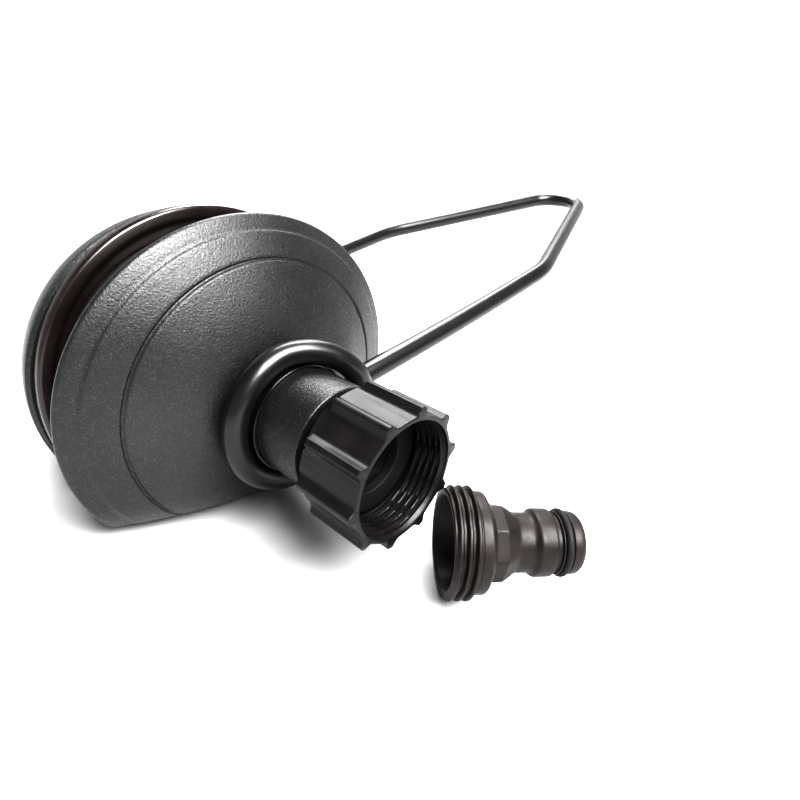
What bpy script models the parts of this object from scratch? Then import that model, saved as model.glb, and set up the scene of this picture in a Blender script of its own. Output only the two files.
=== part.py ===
"""Foot-operated garden hose valve, with a loose quick-connect adapter beside it.

A round two-dome body stands on a flat base. The hose line runs straight through it along Y: a swivel nut
at the front (-Y) is the inlet, a threaded coupling at the back (+Y) the outlet. A steel wire treadle turns
about the same axis on two eyelets and turns the valve's rotor. Metres, +Z up, the floor at z = 0, the
origin under the middle of the body.
"""

import math

import bmesh
import bpy
from mathutils import Matrix, Vector

# Driving dimensions of the body.
AXIS_Z = 0.0312
GAP = 0.0003
BODY_BOTTOM = 0.0038

# The two shells. The front one is a shallow dome with its widest edge well forward of the middle and a
# taper behind that edge. The rear one is a smaller and deeper dome.
DOME_RADIUS = 0.0454
DOME_EDGE_Y = 0.0222
DOME_DEPTH = 0.0144
DOME_WALL = 0.003
FRONT_TAPER = ((0.0203, 0.0450), (0.0170, 0.0434), (0.0110, 0.0410), (0.0050, 0.0390))
FRONT_FACE_RADIUS = 0.0378
TAPER_WALL = 0.0029
FRONT_CAVITY_CORNER = (0.0192, 0.0414)
REAR_RADIUS = 0.0430
REAR_DEPTH = 0.0375
SHELL_FACE_Y = 0.0018
BACK_WALL = 0.002

# Towards their edge the shells are a little wider than high, and their lower ends tuck in to the foot.
OVAL_START = 0.030
OVAL_STRETCH = 0.06
TUCK_ZONE = 0.012
TUCK_DEPTH = 0.009
TUCK_REACH = 0.0292

# The flat foot under the body, an oval with squarish corners.
FOOT_REACH_X = 0.029
FOOT_REACH_Y = 0.0215
FOOT_SQUARENESS = 3.0
PAD_TOP = 0.0012
PLATE_BOTTOM = 0.0015
PLATE_TOP = 0.0035

# The necks and what passes through them.
NECK_RADIUS = 0.0134
NECK_BORE = 0.0112
NECK_END_Y = 0.0573
BOSS_END_Y = 0.0363
PASSAGE_RADIUS = 0.0070
SLEEVE_RADIUS = 0.0096

# The pressure barrel between the domes.
BARREL_RADIUS = 0.0265
BARREL_BORE = 0.0235
BARREL_HALF = 0.022
BARREL_END_WALL = 0.003
FOOT_HALF_X = 0.0145
FOOT_HALF_Y = 0.0145
FOOT_TOP = 0.0105
DISC_RADIUS = 0.044
DISC_HALF = 0.0015
TIE_CIRCLE = 0.033
TIE_RADIUS = 0.0018
TIE_HOLE_RADIUS = 0.0022
TIE_HALF = 0.0062

# The outlet's hose thread.
THREAD_RADIUS = 0.01322
END_Y = 0.0765

# The swivel nut.
NUT_BORE = 0.0138
NUT_BODY_RADIUS = 0.0152
NUT_RIB_RADIUS = 0.0168
NUT_RIBS = 10
NUT_REAR_Y = -0.0591
NUT_SHOULDER_Y = -0.0617
NUT_HOLE = 0.0114

# The wire treadle.
WIRE_RADIUS = 0.0028
EYE_RADIUS = 0.0171
EYE_Y = 0.0395
EYE_OVERLAP_SHIFT = 0.0062
EYE_BEND_RADIUS = 0.008
TREADLE_RISE = math.radians(14.0)
HOOP_KNEE = 0.118
HOOP_KNEE_RADIUS = 0.026
HOOP_TAPER = math.radians(19.0)
HOOP_NOSE_RADIUS = 0.0129

# The loose adapter. It lies nearly level on its thread crests, its nose a touch up.
ADAPTER_MOUTH = (0.01031, -0.08169)
ADAPTER_YAW = -0.724
ADAPTER_NOSE_UP = 0.026
ADAPTER_THREAD_RADIUS = 0.0130
ADAPTER_COLLAR_RADIUS = 0.0117
ADAPTER_WAIST_RADIUS = 0.0069
ADAPTER_FLANGE_RADIUS = 0.0079
ADAPTER_GROOVE_RADIUS = 0.0066
ADAPTER_BORE = 0.0045
ADAPTER_LENGTH = 0.0322

TURNED_SIDES = 32
DOME_SIDES = 40
SEAL_SIDES = 24
SMALL_SIDES = 12
TINY = 1e-6


def clear_scene():
    for obj in list(bpy.data.objects):
        bpy.data.objects.remove(obj, do_unlink=True)


def material(name, colour, roughness, metallic=0.0):
    made = bpy.data.materials.new(name)
    made.use_nodes = True
    shader = made.node_tree.nodes["Principled BSDF"]
    shader.inputs["Base Color"].default_value = (*colour, 1.0)
    shader.inputs["Roughness"].default_value = roughness
    shader.inputs["Metallic"].default_value = metallic
    return made


PLASTIC = ((0.035, 0.036, 0.038), 0.6, 0.0)
DARK = ((0.020, 0.017, 0.016), 0.3, 0.0)
WIRE = ((0.015, 0.015, 0.016), 0.2, 0.0)
RUBBER = ((0.02, 0.02, 0.02), 0.85, 0.0)
BRASS = ((0.60, 0.42, 0.16), 0.35, 1.0)
STEEL = ((0.55, 0.55, 0.56), 0.3, 1.0)
NYLON = ((0.75, 0.73, 0.68), 0.5, 0.0)


def add_object(name, bm, look, location=(0.0, 0.0, 0.0)):
    bmesh.ops.remove_doubles(bm, verts=bm.verts, dist=TINY)
    bmesh.ops.recalc_face_normals(bm, faces=bm.faces)
    mesh = bpy.data.meshes.new(name)
    bm.to_mesh(mesh)
    bm.free()
    mesh.shade_smooth()
    mesh.set_sharp_from_angle(angle=math.radians(35.0))
    mesh.materials.append(material(name, *look))
    obj = bpy.data.objects.new(name, mesh)
    obj.location = location
    bpy.context.scene.collection.objects.link(obj)
    return obj


def turned(name, outline, look, sides=TURNED_SIDES, on_axis=True):
    """A body turned about the Y axis from (y, radius) points. An outline that starts on the axis stays open."""
    bm = bmesh.new()
    verts = [bm.verts.new((radius, y, 0.0)) for y, radius in outline]
    edges = [bm.edges.new(pair) for pair in zip(verts, verts[1:])]
    if outline[0][1] > 0.0:
        edges.append(bm.edges.new((verts[-1], verts[0])))
    bmesh.ops.spin(
        bm,
        geom=verts + edges,
        cent=(0.0, 0.0, 0.0),
        axis=(0.0, 1.0, 0.0),
        dvec=(0.0, 0.0, 0.0),
        angle=math.tau,
        steps=sides,
        use_merge=True,
    )
    return add_object(name, bm, look, (0.0, 0.0, AXIS_Z) if on_axis else (0.0, 0.0, 0.0))


def ring(name, y_low, y_high, inner, outer, look, sides=TURNED_SIDES):
    """A plain turned ring between two stations on the axis."""
    outline = [(y_low, inner), (y_low, outer), (y_high, outer), (y_high, inner)]
    return turned(name, outline, look, sides)


def o_ring(name, y, inner, outer, look=RUBBER):
    """A ring of six-sided section."""
    middle = (inner + outer) / 2.0
    radius = (outer - inner) / 2.0
    corners = [math.radians(60.0 * i) for i in range(6)]
    outline = [(y + radius * math.cos(a), middle + radius * math.sin(a)) for a in corners]
    return turned(name, outline, look, SEAL_SIDES)


def prism(name, outline, z_low, z_high, look):
    """An upright body from a closed outline of (x, y) points."""
    bm = bmesh.new()
    floor = bm.faces.new([bm.verts.new((x, y, z_low)) for x, y in outline])
    raised = bmesh.ops.extrude_face_region(bm, geom=[floor])["geom"]
    top = [item for item in raised if isinstance(item, bmesh.types.BMVert)]
    bmesh.ops.translate(bm, verts=top, vec=(0.0, 0.0, z_high - z_low))
    return add_object(name, bm, look)


def rod(name, start, end, radius, look, sides=SMALL_SIDES):
    """A plain round rod between two points."""
    start, end = Vector(start), Vector(end)
    bm = bmesh.new()
    bmesh.ops.create_cone(
        bm,
        cap_ends=True,
        segments=sides,
        radius1=radius,
        radius2=radius,
        depth=(end - start).length,
    )
    turn = (end - start).to_track_quat("Z", "Y").to_matrix().to_4x4()
    bm.transform(Matrix.Translation((start + end) / 2.0) @ turn)
    return add_object(name, bm, look)


def block(name, low, high, look=PLASTIC):
    """A box between two opposite corners."""
    bm = bmesh.new()
    size = [h - l for l, h in zip(low, high)]
    middle = [(h + l) / 2.0 for l, h in zip(low, high)]
    bmesh.ops.create_cube(bm, size=1.0, matrix=Matrix.Diagonal((*size, 1.0)))
    bmesh.ops.translate(bm, verts=bm.verts, vec=middle)
    return add_object(name, bm, look)


def combine(obj, tool, operation):
    """Cut a tool from an object or join it on, and keep the tool as a hidden guide."""
    tool.hide_render = True
    tool.display_type = "WIRE"
    step = obj.modifiers.new(f"{operation.lower()} {tool.name}", "BOOLEAN")
    step.operation = operation
    step.object = tool


def cut(obj, tool):
    combine(obj, tool, "DIFFERENCE")


def join(obj, tool):
    combine(obj, tool, "UNION")


def front_skin(radius):
    """How far the front dome's skin stands from the middle plane at this radius."""
    return DOME_EDGE_Y + DOME_DEPTH * (1.0 - (radius / DOME_RADIUS) ** 2)


def rear_skin(y, thickness=0.0):
    """The rear dome's radius this far behind the middle plane, at a depth below its skin."""
    return (REAR_RADIUS - thickness) * math.sqrt(1.0 - (y / (REAR_DEPTH - thickness)) ** 2)


def back_wall():
    """The flat wall that faces the centre disc, with a hole for the barrel, from the outside in."""
    hole = BARREL_RADIUS + GAP
    return [(SHELL_FACE_Y, hole), (SHELL_FACE_Y + BACK_WALL, hole)]


def front_outline():
    """The closed outline of the front shell with its neck."""
    neck_root = front_skin(NECK_RADIUS)
    outline = [(NECK_END_Y, NECK_RADIUS), (neck_root, NECK_RADIUS)]
    outline += [(front_skin(r), r) for r in (0.0165, 0.023, 0.030, 0.036, 0.041, 0.0442, DOME_RADIUS)]
    outline += FRONT_TAPER
    outline += [(SHELL_FACE_Y, FRONT_FACE_RADIUS)]
    outline += back_wall()
    outline += [(SHELL_FACE_Y + BACK_WALL, FRONT_FACE_RADIUS - TAPER_WALL)]
    outline += [(y, r - TAPER_WALL) for y, r in reversed(FRONT_TAPER[1:])]
    outline += [FRONT_CAVITY_CORNER]
    inside = [(front_skin(r + DOME_WALL) - DOME_WALL, r) for r in (0.0395, 0.035, 0.029, 0.022, 0.014)]
    outline += inside
    outline += [(inside[-1][0], NECK_BORE), (NECK_END_Y, NECK_BORE)]
    return [(-y, r) for y, r in outline]


def rear_outline():
    """The closed outline of the rear shell with its short boss."""
    outline = [(BOSS_END_Y, NECK_RADIUS)]
    outline += [(y, rear_skin(y)) for y in (0.0350, 0.0320, 0.0280, 0.0220, 0.0150, 0.0080, SHELL_FACE_Y)]
    outline += back_wall()
    inside = [(y, rear_skin(y, DOME_WALL)) for y in (0.0038, 0.0100, 0.0170, 0.0230, 0.0280, 0.0320)]
    outline += inside
    outline += [(inside[-1][0], NECK_BORE), (BOSS_END_Y, NECK_BORE)]
    return outline


def mould_shell(obj):
    """Draw a turned shell out to its oval and tuck its lower end in towards the foot."""
    for vertex in obj.data.vertices:
        x, y, z = vertex.co
        outward = smooth((math.hypot(x, z) - OVAL_START) / (DOME_RADIUS - OVAL_START))
        below = min(1.0, max(0.0, (TUCK_ZONE - AXIS_Z - z) / TUCK_ZONE))
        tuck = TUCK_DEPTH * (1.0 - math.sqrt(1.0 - below * below))
        beyond = max(0.0, abs(y) - SHELL_FACE_Y)
        vertex.co.x = x * (1.0 + OVAL_STRETCH * outward)
        vertex.co.y = y - math.copysign(beyond * tuck / TUCK_REACH, y)


def floor_cutter(name):
    """Everything below the underside of the shells."""
    wide = 0.1
    return block(name, (-wide, -wide, -wide), (wide, wide, BODY_BOTTOM))


def tie_places():
    """The x and z of the four tie rods, set on a circle about the axis."""
    for step in range(4):
        angle = math.radians(45.0 + 90.0 * step)
        yield step + 1, TIE_CIRCLE * math.cos(angle), AXIS_Z + TIE_CIRCLE * math.sin(angle)


def cut_tie_holes(obj, y_low, y_high):
    for step, x, z in tie_places():
        name = f"guide_tie_hole_{obj.name}_{step}"
        cut(obj, rod(name, (x, y_low, z), (x, y_high, z), TIE_HOLE_RADIUS, STEEL))


def cut_foot_notch(obj, y_low, y_high):
    """A notch that clears the barrel's foot block."""
    side = FOOT_HALF_X + GAP
    cut(obj, block(f"guide_notch_{obj.name}", (-side, y_low, 0.0), (side, y_high, FOOT_TOP + GAP)))


def build_shells():
    for name, outline, side in (("front_housing", front_outline(), -1), ("rear_housing", rear_outline(), 1)):
        shell = turned(name, outline, PLASTIC, DOME_SIDES)
        mould_shell(shell)
        near, far = sorted((side * 0.0010, side * 0.0048))
        cut_foot_notch(shell, near, far)
        cut_tie_holes(shell, near, far)
        cut(shell, floor_cutter(f"guide_floor_{name}"))


def build_disc():
    """The dark round flange between the two shells."""
    edge = DISC_RADIUS - 0.0006
    outline = [
        (-DISC_HALF, BARREL_RADIUS + GAP),
        (-DISC_HALF, edge),
        (-DISC_HALF / 2.0, DISC_RADIUS),
        (DISC_HALF / 2.0, DISC_RADIUS),
        (DISC_HALF, edge),
        (DISC_HALF, BARREL_RADIUS + GAP),
    ]
    disc = turned("centre_disc", outline, DARK, DOME_SIDES)
    cut(disc, floor_cutter("guide_floor_centre_disc"))
    cut_foot_notch(disc, -0.005, 0.005)
    cut_tie_holes(disc, -0.005, 0.005)


def build_ties():
    """The tie rods that draw the two shells together onto the centre disc."""
    for step, x, z in tie_places():
        rod(f"tie_rod_{step}", (x, -TIE_HALF, z), (x, TIE_HALF, z), TIE_RADIUS, STEEL)


def foot_outline(grow):
    """The outline of the foot as (x, y) points."""
    points = []
    for step in range(28):
        angle = math.tau * step / 28.0
        across, along = math.cos(angle), math.sin(angle)
        x = (FOOT_REACH_X + grow) * math.copysign(abs(across) ** (2.0 / FOOT_SQUARENESS), across)
        y = (FOOT_REACH_Y + grow) * math.copysign(abs(along) ** (2.0 / FOOT_SQUARENESS), along)
        points.append((x, y))
    return points


def screw_places():
    for step, (x, y) in enumerate(((-1, -1), (1, -1), (1, 1), (-1, 1)), 1):
        yield step, x * 0.0100, y * 0.0095


def build_foot():
    """Rubber pad, steel ballast plate and the four screws that hold the barrel down."""
    pad = prism("base_pad", foot_outline(0.0), 0.0, PAD_TOP, RUBBER)
    plate = prism("base_plate", foot_outline(0.0006), PLATE_BOTTOM, PLATE_TOP, STEEL)
    for step, x, y in screw_places():
        hole = rod(f"guide_pad_hole_{step}", (x, y, -0.001), (x, y, 0.0011 + PAD_TOP), 0.0034, RUBBER)
        cut(pad, hole)
        hole = rod(f"guide_plate_hole_{step}", (x, y, 0.0), (x, y, 0.006), 0.0018, STEEL)
        cut(plate, hole)
        bm = bmesh.new()
        outline = [(0.0002, 0.0), (0.0002, 0.0026), (0.0012, 0.0030), (0.0012, 0.0015), (0.0068, 0.0015), (0.0072, 0.0)]
        verts = [bm.verts.new((r, 0.0, z)) for z, r in outline]
        edges = [bm.edges.new(pair) for pair in zip(verts, verts[1:])]
        bmesh.ops.spin(
            bm,
            geom=verts + edges,
            cent=(0.0, 0.0, 0.0),
            axis=(0.0, 0.0, 1.0),
            dvec=(0.0, 0.0, 0.0),
            angle=math.tau,
            steps=SMALL_SIDES,
            use_merge=True,
        )
        add_object(f"base_screw_{step}", bm, STEEL, (x, y, 0.0))


def build_barrel():
    """The pressure barrel, with a foot block that takes the base screws, and its screwed-in cover."""
    end = -BARREL_HALF
    inlet = 0.0094
    outline = [
        (end, inlet),
        (end, BARREL_RADIUS),
        (BARREL_HALF, BARREL_RADIUS),
        (BARREL_HALF, BARREL_BORE),
        (end + BARREL_END_WALL, BARREL_BORE),
        (end + BARREL_END_WALL, inlet),
    ]
    barrel = turned("valve_barrel", outline, BRASS)
    low = (-FOOT_HALF_X, -FOOT_HALF_Y, BODY_BOTTOM)
    foot = block("guide_barrel_foot", low, (FOOT_HALF_X, FOOT_HALF_Y, FOOT_TOP), BRASS)
    join(barrel, foot)
    bore = turned(
        "guide_barrel_bore",
        [(end + BARREL_END_WALL, 0.0), (end + BARREL_END_WALL, BARREL_BORE), (0.030, BARREL_BORE), (0.030, 0.0)],
        BRASS,
    )
    cut(barrel, bore)
    for step, x, y in screw_places():
        cut(barrel, rod(f"guide_barrel_hole_{step}", (x, y, 0.0), (x, y, 0.0076), 0.0018, BRASS))
    ring("barrel_cover", 0.0187, 0.0217, 0.0108, BARREL_BORE - GAP, BRASS)
    o_ring("cover_seal", 0.01705, 0.0208, 0.0232)


def kidney(name, y_low, y_high, from_deg, to_deg, inner=0.0115, outer=0.0190):
    """A curved slot through a disc, between two angles about the axis."""
    steps = 8
    bm = bmesh.new()
    angles = [math.radians(from_deg + (to_deg - from_deg) * i / steps) for i in range(steps + 1)]
    rim = [(outer * math.cos(a), outer * math.sin(a)) for a in angles]
    rim += [(inner * math.cos(a), inner * math.sin(a)) for a in reversed(angles)]
    face = bm.faces.new([bm.verts.new((x, y_low, z)) for x, z in rim])
    raised = bmesh.ops.extrude_face_region(bm, geom=[face])["geom"]
    moved = [item for item in raised if isinstance(item, bmesh.types.BMVert)]
    bmesh.ops.translate(bm, verts=moved, vec=(0.0, y_high - y_low, 0.0))
    return add_object(name, bm, BRASS, (0.0, 0.0, AXIS_Z))


def build_valve_discs():
    """The fixed port plate, its gasket, and the rotor disc. At rest the slots stand a travel apart, so it is shut."""
    plate_low, plate_high = -0.0175, -0.0140
    turning_low, turning_high = -0.0137, -0.0105
    ring("port_gasket", -0.0187, -0.0178, 0.0200, 0.0232, RUBBER)
    plate = turned(
        "port_plate",
        [(plate_low, 0.0), (plate_low, 0.0231), (plate_high, 0.0231), (plate_high, 0.0)],
        NYLON,
    )
    rotor = turned(
        "rotor_disc",
        [(turning_low, 0.0), (turning_low, 0.0229), (turning_high, 0.0229), (turning_high, 0.0)],
        NYLON,
    )
    for half in range(2):
        at = 180.0 * half
        cut(plate, kidney(f"guide_plate_port_{half}", plate_low - 0.002, plate_high + 0.002, at + 10, at + 80))
        cut(rotor, kidney(f"guide_rotor_port_{half}", turning_low - 0.002, turning_high + 0.002, at + 82, at + 178))


def build_sleeve():
    """The hollow rotor shaft: a flange behind the rotor disc, cross holes, and grooves for the outlet."""
    sleeve = turned(
        "rotor_sleeve",
        [
            (-0.0102, 0.0),
            (-0.0102, 0.0105),
            (-0.0082, 0.0105),
            (-0.0082, SLEEVE_RADIUS),
            (0.0500, SLEEVE_RADIUS),
            (0.0500, 0.0083),
            (0.0522, 0.0083),
            (0.0522, SLEEVE_RADIUS),
            (0.0548, SLEEVE_RADIUS),
            (0.0548, 0.0087),
            (0.0562, 0.0087),
            (0.0562, SLEEVE_RADIUS),
            (0.0578, SLEEVE_RADIUS),
            (0.0578, PASSAGE_RADIUS),
            (-0.0070, PASSAGE_RADIUS),
            (-0.0070, 0.0),
        ],
        BRASS,
    )
    window_y = -0.0025
    for name, x, z in (("across", 0.02, 0.0), ("upright", 0.0, 0.02)):
        start = (-x, window_y, AXIS_Z - z)
        cut(sleeve, rod(f"guide_window_{name}", start, (x, window_y, AXIS_Z + z), 0.0032, BRASS))
    pin_y = 0.0455
    cut(sleeve, rod("guide_sleeve_pin", (-0.02, pin_y, AXIS_Z), (0.0, pin_y, AXIS_Z), 0.0015, BRASS))
    collar = turned(
        "drive_collar",
        [(0.0366, 0.0099), (0.0366, 0.0139), (0.0482, 0.0139), (0.0482, 0.0099)],
        STEEL,
    )
    cut(collar, rod("guide_collar_pin", (-0.02, pin_y, AXIS_Z), (0.0, pin_y, AXIS_Z), 0.0015, STEEL))
    rod("drive_pin", (-0.0136, pin_y, AXIS_Z), (-0.0074, pin_y, AXIS_Z), 0.0012, STEEL, 12)
    ring("rear_bearing", 0.0220, 0.0360, 0.0099, 0.0109, NYLON)
    o_ring("sleeve_seal", 0.0202, 0.0098, 0.0106)


def coil(name, y_low, y_high, radius, wire, turns, look, steps_per_turn):
    """A helical spring about the axis, as a round wire swept along a poly curve."""
    count = int(turns * steps_per_turn)
    points = []
    for i in range(count + 1):
        angle = math.tau * turns * i / count
        y = y_low + (y_high - y_low) * i / count
        points.append((radius * math.cos(angle), y, AXIS_Z + radius * math.sin(angle)))
    return wire_body(name, points, wire, look, 0)


def wire_body(name, points, radius, look, resolution):
    curve = bpy.data.curves.new(name, "CURVE")
    curve.dimensions = "3D"
    curve.bevel_depth = radius
    curve.bevel_resolution = resolution
    curve.use_fill_caps = True
    line = curve.splines.new("POLY")
    line.points.add(len(points) - 1)
    for place, point in zip(line.points, points):
        place.co = (*point, 1.0)
    curve.materials.append(material(name, *look))
    obj = bpy.data.objects.new(name, curve)
    bpy.context.scene.collection.objects.link(obj)
    return obj


def build_return_spring():
    coil("return_spring", -0.0060, 0.0140, 0.0135, 0.0009, 5.0, STEEL, 14)


def on_treadle(along, across, up):
    """A point given along the raised treadle, across it on Y, and square to it."""
    x = along * math.cos(TREADLE_RISE) - up * math.sin(TREADLE_RISE)
    z = along * math.sin(TREADLE_RISE) + up * math.cos(TREADLE_RISE)
    return (x, across, AXIS_Z + z)


def smooth(value):
    value = min(1.0, max(0.0, value))
    return value * value * (3.0 - 2.0 * value)


def half_treadle():
    """The front half of the wire's middle line, from the eyelet's free end to the hoop's nose."""
    points = []
    reach = EYE_RADIUS + EYE_BEND_RADIUS
    bend_along = math.sqrt(reach**2 - EYE_BEND_RADIUS**2)
    leave = math.degrees(math.atan2(EYE_BEND_RADIUS, bend_along))
    first, last = -6.0, 360.0 - leave
    steps = 32
    for i in range(steps + 1):
        angle = first + (last - first) * i / steps
        shift = EYE_OVERLAP_SHIFT * (1.0 - smooth((angle - 20.0) / 80.0))
        a = math.radians(angle)
        points.append(on_treadle(EYE_RADIUS * math.cos(a), -EYE_Y - shift, EYE_RADIUS * math.sin(a)))
    for i in range(1, 7):
        a = math.radians(180.0 - leave + (leave - 90.0) * i / 6)
        along = bend_along + EYE_BEND_RADIUS * math.cos(a)
        up = -EYE_BEND_RADIUS + EYE_BEND_RADIUS * math.sin(a)
        points.append(on_treadle(along, -EYE_Y, up))
    knee_start = HOOP_KNEE - HOOP_KNEE_RADIUS * math.tan(HOOP_TAPER / 2.0)
    for i in range(6):
        a = HOOP_TAPER * i / 5
        along = knee_start + HOOP_KNEE_RADIUS * math.sin(a)
        across = -EYE_Y + HOOP_KNEE_RADIUS * (1.0 - math.cos(a))
        points.append(on_treadle(along, across, 0.0))
    tip = HOOP_KNEE + EYE_Y / math.tan(HOOP_TAPER)
    nose_centre = tip - HOOP_NOSE_RADIUS / math.sin(HOOP_TAPER)
    for i in range(9):
        a = math.radians(-90.0) + HOOP_TAPER + (math.radians(90.0) - HOOP_TAPER) * i / 8
        along = nose_centre + HOOP_NOSE_RADIUS * math.cos(a)
        points.append(on_treadle(along, HOOP_NOSE_RADIUS * math.sin(a), 0.0))
    return points


def build_treadle():
    front = half_treadle()
    back = [(x, -y, z) for x, y, z in reversed(front[:-1])]
    wire_body("treadle_wire", front + back, WIRE_RADIUS, WIRE, 2)
    ring("pivot_bush", -0.0423, -0.0376, 0.0136, 0.0141, DARK)


def build_inlet():
    """The tailpiece in the front neck, with its flange inside the nut, and the non-return valve in it."""
    turned(
        "inlet_tail",
        [
            (-0.0640, 0.0084),
            (-0.0640, 0.0126),
            (-0.0620, 0.0126),
            (-0.0620, 0.0109),
            (-0.0520, 0.0109),
            (-0.0520, 0.0096),
            (-0.0496, 0.0096),
            (-0.0496, 0.0109),
            (-0.0225, 0.0109),
            (-0.0225, 0.0084),
            (-0.0540, 0.0084),
            (-0.0540, 0.0062),
            (-0.0560, 0.0062),
            (-0.0560, 0.0084),
        ],
        BRASS,
    )
    o_ring("neck_seal", -0.0508, 0.0099, 0.0108)
    ring("retaining_ring", -0.0588, -0.0576, 0.0113, 0.0127, DARK)
    ring("hose_washer", -0.0669, -0.0643, 0.0078, 0.0129, RUBBER)
    turned(
        "inlet_strainer",
        [(-0.0625, 0.0), (-0.0610, 0.0080), (-0.0604, 0.0080), (-0.0619, 0.0)],
        STEEL,
        24,
    )
    turned(
        "check_poppet",
        [
            (-0.0536, 0.0),
            (-0.0536, 0.0066),
            (-0.0520, 0.0074),
            (-0.0505, 0.0074),
            (-0.0500, 0.0060),
            (-0.0490, 0.0018),
            (-0.0320, 0.0018),
            (-0.0320, 0.0),
        ],
        NYLON,
        24,
    )
    coil("check_spring", -0.0454, -0.0356, 0.0046, 0.0004, 5.0, STEEL, 10)
    cage = ring("check_cage", -0.0350, -0.0330, 0.0022, 0.0081, NYLON, 24)
    for step in range(6):
        angle = math.radians(60.0 * step)
        x, z = 0.0055 * math.cos(angle), AXIS_Z + 0.0055 * math.sin(angle)
        name = f"guide_cage_hole_{step}"
        cut(cage, rod(name, (x, -0.037, z), (x, -0.031, z), 0.0018, NYLON, 12))


def nut_radius(angle):
    """Half the nut's outline at this angle: a rib's crown or the body between ribs."""
    pitch = 360.0 / NUT_RIBS
    off = abs((angle + pitch / 2.0) % pitch - pitch / 2.0)
    return NUT_RIB_RADIUS if off < 7.0 else NUT_BODY_RADIUS


def build_nut():
    pitch = 360.0 / NUT_RIBS
    angles = [pitch * rib + off for rib in range(NUT_RIBS) for off in (-8.0, -5.5, 5.5, 8.0)]

    def ribbed(y):
        return [(y, nut_radius(a), a) for a in angles]

    def plain(y, radius):
        return [(y, radius, a) for a in angles]

    sections = [
        plain(-END_Y, NUT_BORE),
        ribbed(-END_Y),
        ribbed(NUT_REAR_Y - 0.0012),
        plain(NUT_REAR_Y, NUT_BODY_RADIUS - 0.0008),
        plain(NUT_REAR_Y, NUT_HOLE),
        plain(NUT_SHOULDER_Y, NUT_HOLE),
        plain(NUT_SHOULDER_Y, NUT_BORE),
    ]
    bm = bmesh.new()
    rings = []
    for section in sections:
        corners = [(r * math.cos(math.radians(a)), y, r * math.sin(math.radians(a))) for y, r, a in section]
        rings.append([bm.verts.new(corner) for corner in corners])
    count = len(angles)
    for here, after in zip(rings, rings[1:] + rings[:1]):
        for i in range(count):
            j = (i + 1) % count
            bm.faces.new((here[i], here[j], after[j], after[i]))
    add_object("swivel_nut", bm, PLASTIC, (0.0, 0.0, AXIS_Z))


def build_outlet():
    """The outlet coupling, which swivels on the sleeve's end, with its seal and retaining clip."""
    turned(
        "outlet_coupling",
        [
            (0.0486, 0.0099),
            (0.0486, 0.0150),
            (0.0494, 0.0158),
            (0.0592, 0.0158),
            (0.0600, 0.0150),
            (0.0600, 0.0122),
            (0.0625, 0.0122),
            (0.0637, THREAD_RADIUS),
            (0.0748, THREAD_RADIUS),
            (END_Y, 0.0122),
            (END_Y, 0.0085),
            (0.0585, 0.0085),
            (0.0585, 0.0099),
            (0.0565, 0.0099),
            (0.0565, 0.0112),
            (0.0545, 0.0112),
            (0.0545, 0.0099),
        ],
        PLASTIC,
    )
    o_ring("outlet_seal", 0.0511, 0.0086, 0.0096)
    ring("outlet_clip", 0.0550, 0.0560, 0.0090, 0.0109, STEEL)


def build_adapter():
    """The loose adapter: a hose thread at one end, a grooved push-in spigot with a seal at the other."""
    outline = [
        (0.0, 0.0108),
        (0.0, 0.0117),
        (0.0010, ADAPTER_THREAD_RADIUS),
        (0.0056, ADAPTER_THREAD_RADIUS),
        (0.0062, ADAPTER_COLLAR_RADIUS),
        (0.0086, ADAPTER_COLLAR_RADIUS),
        (0.0097, 0.0093),
        (0.0130, 0.0091),
        (0.0163, ADAPTER_WAIST_RADIUS),
        (0.0200, ADAPTER_WAIST_RADIUS),
        (0.0210, ADAPTER_FLANGE_RADIUS),
        (0.0250, ADAPTER_FLANGE_RADIUS),
        (0.0254, ADAPTER_GROOVE_RADIUS),
        (0.0292, ADAPTER_GROOVE_RADIUS),
        (0.0294, 0.0075),
        (0.0312, 0.0073),
        (ADAPTER_LENGTH, 0.0065),
        (ADAPTER_LENGTH, ADAPTER_BORE),
        (0.0140, ADAPTER_BORE),
        (0.0088, 0.0090),
    ]
    adapter = turned("adapter_body", outline, PLASTIC, TURNED_SIDES, on_axis=False)
    seal = turned(
        "adapter_seal",
        [(0.0271, 0.0069), (0.0271, 0.0074), (0.0279, 0.0078), (0.0287, 0.0074), (0.0287, 0.0069)],
        RUBBER,
        TURNED_SIDES,
        on_axis=False,
    )
    height = ADAPTER_THREAD_RADIUS * math.cos(ADAPTER_NOSE_UP) + GAP
    seat = Matrix.Translation((*ADAPTER_MOUTH, height))
    heading = Matrix.Rotation(ADAPTER_YAW - math.radians(90.0), 4, "Z")
    lean = Matrix.Rotation(ADAPTER_NOSE_UP, 4, "X")
    for obj in (adapter, seal):
        obj.matrix_world = seat @ heading @ lean


def main():
    clear_scene()
    build_shells()
    build_disc()
    build_ties()
    build_foot()
    build_barrel()
    build_valve_discs()
    build_sleeve()
    build_return_spring()
    build_treadle()
    build_inlet()
    build_nut()
    build_outlet()
    build_adapter()


main()
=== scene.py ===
"""The looks of the foot-operated hose valve: detailed meshes, materials, floor, light and camera."""

import math

import bmesh
import bpy
import numpy as np
from mathutils import Matrix, Vector


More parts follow.
